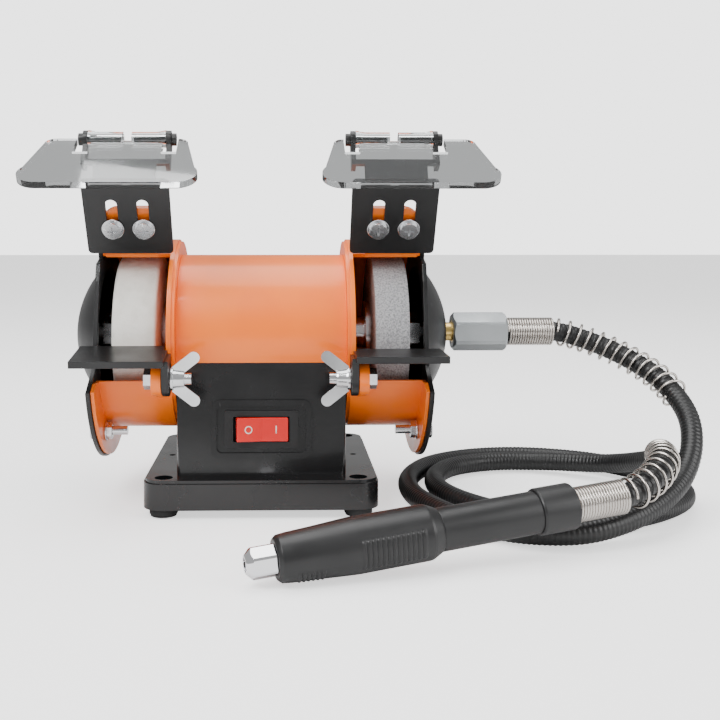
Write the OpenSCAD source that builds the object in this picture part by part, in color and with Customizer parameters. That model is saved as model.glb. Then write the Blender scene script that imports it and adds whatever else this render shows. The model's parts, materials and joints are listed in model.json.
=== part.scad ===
// Small bench grinder: felt wheel on the left, grinding wheel on the right and
// a flexible shaft with a handpiece driven from the right end of the spindle.
// Origin: centre of the four bench-bolt holes, in the plane the feet stand on.
// +X to the user's right, +Y away from the user, +Z up.  Millimetres.

/* [Base] */
// Width of the base plate, left to right
base_w = 104; // [98:1:140]
// Depth of the base plate, front to back
base_d = 106; // [100:1:140]
// Height of the base plate's skirt
skirt_h = 13; // [10:0.5:20]
// Corner radius of the base plate
base_r = 9; // [6:1:14]
// Height of the rubber feet
foot_h = 3.5; // [2:0.5:8]
// Diameter of the rubber feet
foot_d = 12.5; // [11:0.5:20]
// Width of the column
column_w = 76; // [66:1:76]
// Depth of the column at its foot
column_d = 82; // [76:1:90]
// Wall of the base casting
base_wall = 3; // [2:0.5:4]
// Diameter of the bench-bolt holes
bolt_hole_d = 8; // [5:0.5:8]
// Inset of the bench-bolt holes from the plate's edges
bolt_inset = 9; // [8.5:0.5:12]

/* [Motor] */
// Height of the spindle axis above the bench
axis_z = 76.5; // [76.5:0.5:100]
// Outside diameter of the motor barrel
barrel_d = 75; // [70:1:75]
// Length of the motor barrel
barrel_l = 77.2; // [77:0.2:90]
// Wall of the barrel tube
barrel_wall = 1.6; // [1:0.2:2.5]
// Diameter of the spindle
spindle_d = 10; // [8:0.5:11]
// Outside diameter of the spindle bearings
bearing_d = 26; // [22:1:28]
// Width of the spindle bearings
bearing_w = 8; // [6:0.5:10]

/* [Wheels and guards] */
// Diameter of both wheels
wheel_d = 75; // [66:1:78]
// Thickness of the felt wheel
felt_w = 20; // [12:0.5:21]
// Thickness of the grinding wheel
stone_w = 15.5; // [10:0.5:18]
// Outside diameter of the guard drum
drum_d = 90; // [88:1:100]
// Length of the guard drum, outside its inner wall
drum_l = 30.5; // [30:0.5:40]
// Thickness of the guard drum
drum_wall = 2.5; // [2:0.25:4]
// Diameter of the outer covers
cover_d = 118; // [112:1:126]
// Thickness of the outer covers
cover_t = 2; // [1.5:0.25:3]
// Bulge of the cover's dome
dome_h = 13.2; // [10:0.2:16]

/* [Tool rests] */
// Length of a tool rest's table
rest_l = 41; // [36:1:48]
// Depth of a tool rest's table
rest_deep = 27; // [22:1:32]
// Thickness of a tool rest
rest_t = 3; // [2:0.25:4]
// Diameter of the tool-rest bolt
rest_bolt_d = 5; // [4:0.5:6]

/* [Eye shields] */
// Width of a shield bracket
bracket_w = 38.5; // [34:0.5:44]
// Thickness of the bracket sheet
bracket_t = 2; // [1.5:0.25:3]
// Lean of the bracket's slotted plate towards the user
bracket_lean = 32; // [28:1:36]
// Thickness of the clear shields
shield_t = 3; // [2:0.25:4]
// Width of a shield at its front edge
shield_front_w = 75.5; // [66:0.5:84]
// Width of a shield at its hinge edge
shield_rear_w = 63.5; // [56:0.5:70]
// Reach of a shield from its hinge to its front edge
shield_reach = 42; // [36:1:48]

/* [Flexible shaft] */
// Outside diameter of the hose
hose_d = 9.5; // [8:0.25:9.5]
// Outside diameter of the anti-kink springs
spring_d = 13.6; // [13:0.2:14]
// Wire diameter of the anti-kink springs
spring_wire = 1.2; // [0.8:0.1:1.4]
// Distance across the flats of the coupling nut
coupling_af = 17; // [15:0.5:20]

/* [Handpiece] */
// Diameter of the handpiece at its nose
hand_nose_d = 17; // [16:0.5:20]
// Diameter of the handpiece at its shoulder
hand_grip_d = 20.5; // [18:0.5:24]
// Diameter of the handpiece's rear tube
hand_tube_d = 16; // [15.5:0.25:17]
// Bore of the collet, the size of the tool shank
collet_bore = 3.2; // [2.4:0.1:3.2]

/* [Hidden] */

fine = 96;           // facets of large round faces
mid = 48;            // facets of small round faces
gap = 0.3;           // clearance between pieces that move on each other
fit = 0.05;          // radial running clearance of a shaft in its bore
eps = 0.01;          // overrun of a cut past the face it opens

// heights of the base
plate_top = foot_h + skirt_h;
bolt_x = base_w / 2 - bolt_inset;
bolt_y = base_d / 2 - 7;
column_top = axis_z - 10;
column_lean = 5;     // how far the column's front falls back over its height
boss_d = 16;         // bosses inside the skirt that carry feet and bench bolts
plate_t = 1.2;       // sheet of the bottom plate
base_screw_x = 44;   // screws of the bottom plate, left and right
gland_x = 20;
gland_z = plate_top + 12;

// stations along the spindle, for the right side; the left side is mirrored
wall_x = barrel_l / 2;               // face of the guard's inner wall
wall_t = 3.4;                        // thickness of that wall
drum_x = wall_x + wall_t;            // where the drum's free length begins
cover_x = drum_x + drum_l + 1.2;     // inner face of the outer cover
drum_r = drum_d / 2;
cover_r = cover_d / 2;
dome_r = 46.5;                       // radius of the cover's spherical dome
dome_x = cover_x + cover_t + dome_h; // outermost point of the dome
seat_r = bearing_d / 2;
bearing_x = wall_x - 0.1 - bearing_w;
wheel_r = wheel_d / 2;
bore_r = spindle_d / 2;
flange_t = 2.5;
brush_x = 1.5 + 4 - bearing_x;             // brushes, against the left bearing boss
flange_r = 15;
stone_x = 51.5;                      // inboard face of the grinding wheel
felt_x = 47.3;                       // inboard face of the felt wheel
nut_t = 6;
nut_af = 17;
tip_r = 2;                           // drive tip that enters the flexible shaft

// tool rest
pivot_y = -55;
pivot_z = axis_z - 15;
lug_x = drum_x + 0.4;
lug_t = 4.3;
lug_r = 7;
tab_t = 3;
tab_x = lug_x - gap - tab_t;
rest_top = 11;                       // table above the rest's bolt
bolt_r = rest_bolt_d / 2;
wing_x = tab_x - gap;                // outboard face of the wing nut

// eye shield
shield_x = 59.5;                     // centre of the bracket
edge_y = -26;                        // bracket's lower edge
edge_z = axis_z + 39.7;
plate_h = 36;                        // slotted plate, edge to bend
screw_u = 13.5;
screw_pitch = 13.8;
slot_w = 5.3;
slot_lo = 11.6;
slot_hi = 25.4;
screw_r = 2.3;
washer_r = 5;
tongue_lean = 25;
hinge_u = 21.4;
tongue_bar = 2.5;                    // cross bar that carries the ears
hinge_y = edge_y - plate_h * sin(bracket_lean) + hinge_u * sin(tongue_lean);
hinge_z = edge_z + plate_h * cos(bracket_lean) + hinge_u * cos(tongue_lean);
ear_x = 17.5;
knuckle_r = 3.4;
pin_r = 1.5;
shield_drop = 30;
shield_low = 2.8;                    // underside of the plate below the hinge axis
notch_in = 13;                       // notches in the plate that let the ears through
shield_shift = 4.5;

// switch, on the sloping front of the column
switch_z = foot_h + 33;
front_lean = atan(column_lean / (column_top - plate_top));
switch_y = -(column_d / 2 - column_lean * (switch_z - plate_top) / (column_top - plate_top));
bezel_w = 33;
bezel_h = 16.5;
frame_w = 45;
frame_h = 26;
rocker_w = 23;
rocker_h = 10.6;
rocker_tilt = 8;

// flexible shaft
outlet_x = dome_x - cover_t;
nut_x = dome_x + 3;
nut_l = 26;
neck_r = 4.5;                        // outlet where it passes the cover
thread_r = 5.5;                      // outlet inside the coupling nut
hose_x = nut_x + nut_l + gap;
ferrule_l = 23.5;
hose_r = hose_d / 2;
spring_r = spring_d / 2;

// handpiece: nose tip and the far end of its collar
nose = [-4, -139, 8];
hand_l = 128;
hand_yaw = 14.3;
hand_pitch = 5.2;
front_s = 11;                        // where the front body begins
collet_nut_l = front_s - gap;
grip_s = 73;
hand_bore_r = 6.5;
collet_r = 2.5;
collar_s = 113;
tube_end_s = 121;
hand_dir = [cos(hand_pitch) * cos(hand_yaw), cos(hand_pitch) * sin(hand_yaw), sin(hand_pitch)];
tail = nose + hand_l * hand_dir;
tail_ferrule = 24;

// route of the hose, from the coupling nut to the handpiece's collar
route = [[hose_x, 0, axis_z], [hose_x + ferrule_l, 0, axis_z], [160, -2, 71.5], [176, -10, 64],
    [187, -24, 55], [192, -40, 43], [189, -53, 30.5], [180, -64, 19], [165, -77, 12],
    [147, -89, 8], [127, -95.5, 5.6], [105, -92, 5], [87, -77, 5], [75, -54, 5],
    [69, -28, 5], [72, 0, 5], [86, 26.5, 5], [110, 43, 5], [138, 46.5, 5],
    [166, 36, 5], [186.5, 14.5, 5], [196, -13, 5], [191, -41, 5], [170, -63.5, 5],
    [143, -76.5, 5], [116, -73.5, 5], [96, -55, 5], [84, -30, 5], [83.5, -3, 5],
    [96, 20.5, 5], [119, 32.5, 5], [145, 31, 5.4], [174, 10, 9], [184, -25.5, 19],
    [173, -59, 28.5], [166, -80, 29.5], [156.5, -93, 26], tail + tail_ferrule * hand_dir, tail];

// ---- helpers -------------------------------------------------------------

module along_x(x, z = axis_z, y = 0) {
    translate([x, y, z]) rotate([0, 90, 0]) children();
}

module rod_x(x0, x1, r, y = 0, z = axis_z, n = mid) {
    along_x(x0, z, y) cylinder(h = x1 - x0, r = r, $fn = n);
}

module ring_x(x0, x1, r_in, r_out, n = fine) {
    along_x(x0) difference() {
        cylinder(h = x1 - x0, r = r_out, $fn = n);
        translate([0, 0, -1]) cylinder(h = x1 - x0 + 2, r = r_in, $fn = n);
    }
}

// A Y-Z outline, heights counted from the spindle axis, extruded along X.
module slab_x(x0, x1) {
    translate([x0, 0, axis_z]) rotate([90, 0, 90]) linear_extrude(x1 - x0) children();
}

module rounded(w, d, r) {
    union() {
        square([w - 2 * r, d], center = true);
        square([w, d - 2 * r], center = true);
        for (sx = [-1, 1], sy = [-1, 1])
            translate([sx * (w / 2 - r), sy * (d / 2 - r)]) circle(r, $fn = mid);
    }
}

module hex(af, h) {
    cylinder(h = h, r = af / sqrt(3), $fn = 6);
}

module left() {
    mirror([1, 0, 0]) children();
}

// ---- base ----------------------------------------------------------------

module column_shape(inset, top) {
    half = column_d / 2 - inset;
    low = plate_top - 2 * base_wall;
    intersection() {
        translate([-column_w / 2 + inset, 0, 0]) rotate([90, 0, 90])
            linear_extrude(column_w - 2 * inset)
            polygon([[-half, low], [half, low], [half - column_lean, top], [column_lean - half, top]]);
        linear_extrude(top + 1) rounded(column_w - 2 * inset, column_d - 2 * inset, 4 - inset / 2);
    }
}

module at_switch() {
    translate([0, switch_y, switch_z]) rotate([-front_lean, 0, 0]) children();
}

// Plate in the switch's plane, centred, from depth y0 to depth y1.
module panel(w, h, y0, y1, r) {
    translate([0, y1, 0]) rotate([90, 0, 0]) linear_extrude(y1 - y0) rounded(w, h, r);
}

module at_bosses() {
    for (sx = [-1, 1], sy = [-1, 1]) translate([sx * bolt_x, sy * bolt_y, 0]) children();
}

module base_housing() {
    color([0.05, 0.05, 0.055]) difference() {
        union() {
            difference() {
                union() {
                    translate([0, 0, foot_h]) linear_extrude(skirt_h - 1.5) rounded(base_w, base_d, base_r);
                    translate([0, 0, plate_top - 1.5]) linear_extrude(1.5)
                        rounded(base_w - 1.6, base_d - 1.6, base_r - 0.8);
                    column_shape(0, column_top);
                }
                difference() {
                    translate([0, 0, foot_h - 1]) linear_extrude(skirt_h - base_wall + 1)
                        rounded(base_w - 2 * base_wall, base_d - 2 * base_wall, base_r - base_wall);
                    translate([0, 0, foot_h]) at_bosses() cylinder(h = skirt_h, d = boss_d, $fn = mid);
                    for (sx = [-1, 1]) translate([sx * base_screw_x, 0, foot_h + 2.5])
                        cylinder(h = skirt_h, d = 9, $fn = mid);
                }
                column_shape(base_wall, column_top - 1);
            }
            at_switch() panel(frame_w, frame_h, -1.6, 2, 4);
            translate([gland_x, column_d / 2 - 4, gland_z]) rotate([-90, 0, 0])
                cylinder(h = 4, d = 17, $fn = mid);
        }
        at_switch() panel(frame_w - 5, frame_h - 5, -4, 0, 2.5);
        at_switch() panel(27.6, 13, -4, 9, 1);
        rod_x(-column_w, column_w, barrel_d / 2 + fit, n = fine);
        at_bosses() translate([0, 0, -eps]) cylinder(h = plate_top + 1, d = bolt_hole_d, $fn = mid);
        for (sx = [-1, 1]) translate([sx * base_screw_x, 0, 0]) cylinder(h = plate_top + 1, d = 3, $fn = mid);
        translate([gland_x, column_d / 2 - 8, gland_z]) rotate([-90, 0, 0])
            cylinder(h = 12, d = 10, $fn = mid);
    }
}

module bottom_plate() {
    color([0.5, 0.5, 0.52]) translate([0, 0, foot_h + 0.8]) difference() {
        linear_extrude(plate_t) rounded(base_w - 2 * base_wall - 0.6, base_d - 2 * base_wall - 0.6, 5);
        at_bosses() translate([0, 0, -1]) cylinder(h = 4, d = boss_d + 0.6, $fn = mid);
        for (sx = [-1, 1]) translate([sx * base_screw_x, 0, -1]) cylinder(h = 4, d = 3.2, $fn = mid);
    }
}

module rubber_feet() {
    color([0.08, 0.08, 0.08]) at_bosses() difference() {
        union() {
            cylinder(h = foot_h, d = foot_d - 1, $fn = mid);
            translate([0, 0, 1]) cylinder(h = foot_h - 1, d = foot_d, $fn = mid);
        }
        translate([0, 0, -1]) cylinder(h = foot_h + 2, d = bolt_hole_d, $fn = mid);
    }
}

module base_screws() {
    color("silver") for (sx = [-1, 1]) translate([sx * base_screw_x, 0, foot_h - 1]) {
        cylinder(h = 1.8, d = 6, $fn = mid);
        translate([0, 0, 1]) cylinder(h = skirt_h - 2, d = 2.8, $fn = mid);
    }
}

module switch_body() {
    color([0.08, 0.08, 0.08]) at_switch() difference() {
        union() {
            panel(bezel_w, bezel_h, -1.4, 0, 1.5);
            panel(27.2, 12.6, -0.5, 20, 0.8);
            for (sx = [-8, 0, 8]) translate([sx - 0.4, 19, -2.4]) cube([0.8, 9, 4.8]);
        }
        panel(rocker_w + 2.2, rocker_h + 2 * gap, -3, 9, 0.5);
    }
}

module switch_rocker() {
    half = rocker_w / 2;
    color([0.85, 0.08, 0.08]) at_switch() rotate([0, 0, rocker_tilt])
        translate([0, 0, -rocker_h / 2]) linear_extrude(rocker_h)
        polygon([[-half, -4.4], [0, -2.8], [half, -4.4], [half, 0], [4, 5], [-4, 5], [-half, 0]]);
}

module cable_gland() {
    color([0.06, 0.06, 0.06]) translate([gland_x, column_d / 2 - 2, gland_z]) rotate([-90, 0, 0])
        difference() {
        union() {
            translate([0, 0, -5]) cylinder(h = 8, d = 9.8, $fn = mid);
            translate([0, 0, 2]) cylinder(h = 3, d = 14, $fn = mid);
            translate([0, 0, 5]) cylinder(h = 9, d1 = 12, d2 = 9, $fn = mid);
        }
        translate([0, 0, -6]) cylinder(h = 22, d = 6, $fn = mid);
    }
}

module terminal_block() {
    color([0.85, 0.84, 0.8]) difference() {
        translate([-18, 12, foot_h + 0.8 + plate_t]) cube([22, 12, 11]);
        for (i = [0:3]) translate([-15.2 + 5.4 * i, 18, foot_h + 6]) cylinder(h = 12, d = 3, $fn = mid);
    }
}

// ---- motor ---------------------------------------------------------------

module motor_barrel() {
    color([1, 0.5, 0]) ring_x(-wall_x, wall_x, barrel_d / 2 - barrel_wall, barrel_d / 2);
}

// Laminated stack with two pole shoes that leave room for the field coils.
module stator_core() {
    outer = barrel_d / 2 - barrel_wall - 0.05;
    color([0.45, 0.45, 0.48]) along_x(-18) difference() {
        cylinder(h = 30, r = outer, $fn = fine);
        translate([0, 0, -1]) cylinder(h = 32, r = 19.6, $fn = fine);
        for (a = [45, 135, 225, 315]) rotate([0, 0, a]) translate([19, -5, -1]) cube([11, 10, 32]);
    }
}

// Two coils: two straight sides in the stack's slots, joined by end turns.
module field_coils() {
    color([0.75, 0.38, 0.14]) for (a = [0, 180]) along_x(-23) rotate([0, 0, a]) {
        for (s = [-1, 1]) rotate([0, 0, 45 * s]) translate([20.5, -4, 0]) cube([8, 8, 40]);
        for (x = [0, 36]) translate([0, 0, x]) intersection() {
            difference() {
                cylinder(h = 4, r = 28, $fn = fine);
                translate([0, 0, -1]) cylinder(h = 6, r = 21, $fn = fine);
            }
            linear_extrude(4) polygon([[0, 0], [40, -40], [40, 40]]);
        }
    }
}

module brush_holders() {
    color([0.6, 0.45, 0.2]) for (s = [-1, 1]) translate([brush_x, s * 21, axis_z]) difference() {
        translate([-4, -7.5, -4]) cube([8, 15, 8]);
        translate([-1.6, -10, -2.6]) cube([4.2, 20, 5.2]);
    }
}

module carbon_brushes() {
    color([0.12, 0.12, 0.12]) for (s = [-1, 1]) translate([brush_x, s * 17.5, axis_z])
        translate([-1.4, -5.2, -2.4]) cube([3.8, 10.4, 4.8]);
}

module spindle() {
    color([0.75, 0.75, 0.78]) {
        rod_x(-felt_x - felt_w - flange_t - nut_t - 4, stone_x + stone_w + flange_t + nut_t + 4, bore_r);
        rod_x(-felt_x + flange_t, 0.9 - drum_x, bore_r + 2.5);
        rod_x(drum_x - 0.9, stone_x - flange_t, bore_r + 2.5);
        rod_x(stone_x, outlet_x + 10, tip_r);
    }
}

module armature_core() {
    color([0.5, 0.5, 0.53]) along_x(-16) difference() {
        cylinder(h = 26, r = 19.1, $fn = fine);
        translate([0, 0, -1]) cylinder(h = 28, r = bore_r, $fn = mid);
        for (i = [0:11]) rotate([0, 0, 30 * i]) translate([15, -0.9, -1]) cube([5, 1.8, 28]);
    }
}

module armature_windings() {
    color([0.72, 0.36, 0.12]) {
        ring_x(-20, -16, bore_r, 15.5);
        ring_x(10, 14, bore_r, 15.5);
    }
}

module commutator() {
    color([0.8, 0.45, 0.2]) along_x(brush_x - 3) difference() {
        cylinder(h = 8, r = 12, $fn = fine);
        translate([0, 0, -1]) cylinder(h = 10, r = bore_r, $fn = mid);
        for (i = [0:11]) rotate([0, 0, 30 * i]) translate([10.8, -0.3, -1]) cube([3, 0.6, 10]);
    }
}

module cooling_fan() {
    color([0.2, 0.2, 0.22]) along_x(18.5) difference() {
        union() {
            cylinder(h = 2, r = 28, $fn = fine);
            cylinder(h = 8, r = 9, $fn = mid);
            for (i = [0:8]) rotate([0, 0, 40 * i]) translate([8, -0.8, 0]) cube([19, 1.6, 8]);
        }
        translate([0, 0, -1]) cylinder(h = 10, r = bore_r, $fn = mid);
    }
}

module bearing_outer_races() {
    color("silver") for (x = [bearing_x, -bearing_x - bearing_w])
        ring_x(x, x + bearing_w, (seat_r + bore_r) / 2 + 1, seat_r);
}

module bearing_inner_races() {
    color([0.8, 0.8, 0.82]) for (x = [bearing_x, -bearing_x - bearing_w])
        ring_x(x, x + bearing_w, bore_r, (seat_r + bore_r) / 2 - 1);
}

// ---- guards, covers and wheels -------------------------------------------

// What is cut away at the front, so that the wheel can be reached.
module drum_mouth() {
    polygon([[-90, -18], [-38, -18], [-16, -10], [-16, 32], [-24.5, 39.5], [-50, 80], [-90, 80]]);
}

module cover_mouth() {
    polygon([[-90, -30], [-54, -21], [-38, -12], [-36, -1], [-30, 26], [-27, 34], [-19.5, 36],
        [-33.5, 59], [-60, 100], [-90, 100]]);
}

module at_bracket() {
    translate([shield_x, edge_y, edge_z]) rotate([bracket_lean, 0, 0]) children();
}

cover_bolt_angles = [-59, 180, 75];

// Centres of the cover's bolts, as angles below the front of the spindle.
module at_cover_bolts(x) {
    for (a = cover_bolt_angles)
        along_x(x, axis_z + 50 * sin(a), -50 * cos(a)) children();
}

module guard() {
    difference() {
        union() {
            rod_x(wall_x, drum_x, drum_r - 1, n = fine);
            rod_x(bearing_x - 1.5, wall_x + 1, seat_r + 4, n = fine);
            difference() {
                union() {
                    rod_x(drum_x - 2, cover_x - 0.2, drum_r, n = fine);
                    rod_x(cover_x - 1.7, cover_x - 0.2, cover_r - 1, n = fine);
                }
                rod_x(drum_x, cover_x + 1, drum_r - drum_wall, n = fine);
                slab_x(drum_x, cover_x + 1) drum_mouth();
                slab_x(cover_x - 1.7, cover_x + 1) cover_mouth();
            }
            at_bracket() translate([-12, gap, -3.5]) guard_tab();
            slab_x(lug_x, lug_x + lug_t) {
                translate([pivot_y, pivot_z - axis_z]) circle(lug_r, $fn = mid);
                polygon([[pivot_y, -22], [-36, -26], [-36, -13], [pivot_y, -8]]);
            }
        }
        rod_x(bearing_x, wall_x, seat_r, n = fine);
        rod_x(bearing_x - 4, drum_x + 1, (seat_r + bore_r) / 2 + 1, n = fine);
        rod_x(lug_x - 1, lug_x + lug_t + 1, bolt_r + fit, pivot_y, pivot_z);
        at_cover_bolts(cover_x - 3) cylinder(h = 5, d = 4.2, $fn = mid);
        at_bracket() for (s = [-1, 1]) translate([s * screw_pitch / 2, -1, screw_u])
            rotate([-90, 0, 0]) cylinder(h = 6, r = screw_r, $fn = mid);
    }
}

// Orange tab behind the slotted bracket, with its outboard corner rounded.
module guard_tab() {
    rotate([90, 0, 0]) mirror([0, 0, 1]) linear_extrude(2.5) union() {
        square([24, 18]);
        square([16, 26]);
        translate([16, 18]) circle(8, $fn = mid);
    }
}

module left_guard() {
    color([0.95, 0.38, 0.05]) left() guard();
}

module right_guard() {
    color([0.95, 0.38, 0.05]) guard();
}

// Flat ring open at the front where the wheel shows, joined to a domed shell
// that is turned from an arc.
module cover(hole_r) {
    centre_x = dome_x - dome_r;
    rim_x = cover_x - centre_x;
    outer_r = sqrt(dome_r * dome_r - rim_x * rim_x);
    inner_r = sqrt(pow(dome_r - cover_t, 2) - rim_x * rim_x);
    union() {
        difference() {
            ring_x(cover_x, cover_x + cover_t, (outer_r + inner_r) / 2 - 1, cover_r);
            slab_x(cover_x - 1, cover_x + cover_t + 2) cover_mouth();
            at_cover_bolts(cover_x - 1) cylinder(h = cover_t + 2, d = 4.2, $fn = mid);
        }
        along_x(centre_x) rotate_extrude($fn = fine) intersection() {
            difference() {
                circle(dome_r, $fn = fine);
                circle(dome_r - cover_t, $fn = fine);
            }
            translate([hole_r, rim_x]) square([dome_r, dome_r]);
        }
    }
}

module left_cover() {
    color([0.04, 0.04, 0.04]) left() cover(0);
}

module right_cover() {
    color([0.04, 0.04, 0.04]) cover(neck_r + fit);
}

module cover_bolt_set() {
    at_cover_bolts(cover_x - 12) {
        cylinder(h = 12 + cover_t, d = 4, $fn = mid);
        translate([0, 0, 12 + cover_t]) hex(7, 2.8);
    }
}

module cover_nut_set() {
    at_cover_bolts(cover_x - 5.1) difference() {
        union() {
            hex(7, 3.2);
            translate([0, 0, 2.4]) cylinder(h = 0.9, d = 9, $fn = mid);
        }
        translate([0, 0, -1]) cylinder(h = 6, d = 4.1, $fn = mid);
    }
}

module cover_bolts() {
    color("silver") {
        cover_bolt_set();
        left() cover_bolt_set();
    }
}

module cover_nuts() {
    color("silver") {
        cover_nut_set();
        left() cover_nut_set();
    }
}

module felt_wheel() {
    color([0.95, 0.94, 0.9]) ring_x(-felt_x - felt_w, -felt_x, bore_r, wheel_r);
}

module grinding_wheel() {
    color([0.62, 0.62, 0.62]) ring_x(stone_x, stone_x + stone_w, bore_r, wheel_r);
}

module wheel_flanges() {
    color([0.7, 0.7, 0.72]) for (x = [-felt_x, -felt_x - felt_w - flange_t, stone_x - flange_t,
        stone_x + stone_w]) ring_x(x, x + flange_t, bore_r, flange_r);
}

module spindle_nuts() {
    color([0.75, 0.75, 0.77]) for (x = [-felt_x - felt_w - flange_t - nut_t,
        stone_x + stone_w + flange_t]) along_x(x) difference() {
        hex(nut_af, nut_t);
        translate([0, 0, -1]) cylinder(h = nut_t + 2, r = bore_r, $fn = mid);
    }
}

// ---- tool rests ----------------------------------------------------------

module rest_bolt() {
    rod_x(wing_x - 9, lug_x + lug_t, bolt_r, pivot_y, pivot_z);
    along_x(lug_x + lug_t, pivot_z, pivot_y) hex(8, 3.4);
}

module rest_bolts() {
    color("silver") {
        rest_bolt();
        left() rest_bolt();
    }
}

// Sheet bent down at its inboard end, turned by tilt about its bolt.
module tool_rest(tilt) {
    translate([0, pivot_y, pivot_z]) rotate([tilt, 0, 0]) difference() {
        union() {
            translate([tab_x + 1.5, 14.5 - rest_deep, rest_top - rest_t])
                cube([rest_l - 1.5, rest_deep, rest_t]);
            translate([tab_x, -7.5, 0]) cube([tab_t, 15, rest_top - 1.5]);
            translate([tab_x, 0, 0]) rotate([0, 90, 0]) cylinder(h = tab_t, r = 7.5, $fn = mid);
        }
        translate([tab_x, 7, 0]) cube([drum_x + 0.5 - tab_x, rest_deep, rest_top + 1]);
        translate([tab_x - 1, 0, 0]) rotate([0, 90, 0])
            cylinder(h = tab_t + 2, r = bolt_r + fit, $fn = mid);
    }
}

module left_tool_rest() {
    color([0.06, 0.06, 0.06]) left() tool_rest(8);
}

module right_tool_rest() {
    color([0.06, 0.06, 0.06]) tool_rest(1);
}

module wing_nut(turn) {
    color([0.8, 0.8, 0.82]) translate([wing_x, pivot_y, pivot_z]) rotate([turn, 0, 0])
        rotate([0, -90, 0]) difference() {
        union() {
            cylinder(h = 1.2, d = 10, $fn = mid);
            cylinder(h = 6, d1 = 8.6, d2 = 7.4, $fn = mid);
            for (s = [-1, 1]) rotate([90, 0, 0]) translate([s * 2.6, 1.4, -0.9]) rotate([0, 0, -s * 38])
                linear_extrude(1.8) translate([0, 5.5]) {
                translate([-2.6, -4.5]) square([5.2, 10]);
                translate([0, 5.5]) circle(2.6, $fn = mid);
            }
        }
        translate([0, 0, -1]) cylinder(h = 12, r = bolt_r + fit, $fn = mid);
    }
}

module left_wing_nut() {
    left() wing_nut(4);
}

module right_wing_nut() {
    wing_nut(-3);
}

// ---- eye shields ---------------------------------------------------------

module bracket_screw_set() {
    at_bracket() for (s = [-1, 1]) translate([s * screw_pitch / 2, -bracket_t - 1.2, screw_u])
        rotate([-90, 0, 0]) difference() {
        union() {
            translate([0, 0, -2]) cylinder(h = 2, r = 4, $fn = mid);
            cylinder(h = 9, r = screw_r, $fn = mid);
            translate([0, 0, 6.2]) hex(7, 2.4);
        }
        for (a = [0, 90]) rotate([0, 0, a]) translate([-2.2, -0.4, -2.5]) cube([4.4, 0.8, 1.7]);
    }
}

module bracket_screws() {
    color("silver") {
        bracket_screw_set();
        left() bracket_screw_set();
    }
}

module bracket_washer_set() {
    at_bracket() for (s = [-1, 1]) translate([s * screw_pitch / 2, -bracket_t - 1.2, screw_u])
        rotate([-90, 0, 0]) difference() {
        cylinder(h = 0.9, r = washer_r, $fn = mid);
        translate([0, 0, -1]) cylinder(h = 3, r = screw_r, $fn = mid);
    }
}

module bracket_washers() {
    color("silver") {
        bracket_washer_set();
        left() bracket_washer_set();
    }
}

// Two planes of sheet: the slotted plate below and the tongue above the bend.
module bracket() {
    color([0.07, 0.07, 0.07]) difference() {
        union() {
            at_bracket() translate([0, 0, plate_h / 2]) rotate([90, 0, 0]) linear_extrude(bracket_t)
                difference() {
                rounded(bracket_w, plate_h, 2);
                for (s = [-1, 1]) translate([s * screw_pitch / 2, 0]) {
                    translate([-slot_w / 2, slot_lo - plate_h / 2]) square([slot_w, slot_hi - slot_lo]);
                    for (u = [slot_lo, slot_hi]) translate([0, u - plate_h / 2])
                        circle(slot_w / 2, $fn = mid);
                }
            }
            at_bracket() at_tongue() {
                translate([-13.8, -bracket_t, -1.3]) cube([27.6, bracket_t, 8]);
                translate([-ear_x - bracket_t, -bracket_t, 6])
                    cube([2 * (ear_x + bracket_t), bracket_t, tongue_bar]);
                for (s = [-1, 1]) translate([s * (ear_x + bracket_t / 2) - bracket_t / 2, -bracket_t, 6]) {
                    cube([bracket_t, 6.5, hinge_u - 6]);
                    translate([0, bracket_t, hinge_u - 6]) rotate([0, 90, 0])
                        cylinder(h = bracket_t, r = 4, $fn = mid);
                }
            }
        }
        translate([shield_x - 30, hinge_y, hinge_z]) rotate([0, 90, 0])
            cylinder(h = 60, r = pin_r, $fn = mid);
    }
}

// Frame of the tongue: from the bend, leaning back.
module at_tongue() {
    translate([0, 0, plate_h]) rotate([-bracket_lean - tongue_lean, 0, 0]) children();
}

module left_bracket() {
    left() bracket();
}

module right_bracket() {
    bracket();
}

module hinge_screw_set() {
    color([0.1, 0.1, 0.1]) for (s = [-1, 1])
        translate([shield_x, hinge_y, hinge_z]) rotate([0, s * 90, 0]) {
        translate([0, 0, 3]) cylinder(h = ear_x + bracket_t - 3, r = pin_r, $fn = mid);
        translate([0, 0, ear_x + bracket_t]) cylinder(h = 2.2, r = 2.8, $fn = mid);
    }
}

module left_hinge_screws() {
    left() hinge_screw_set();
}

module right_hinge_screws() {
    hinge_screw_set();
}

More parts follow.
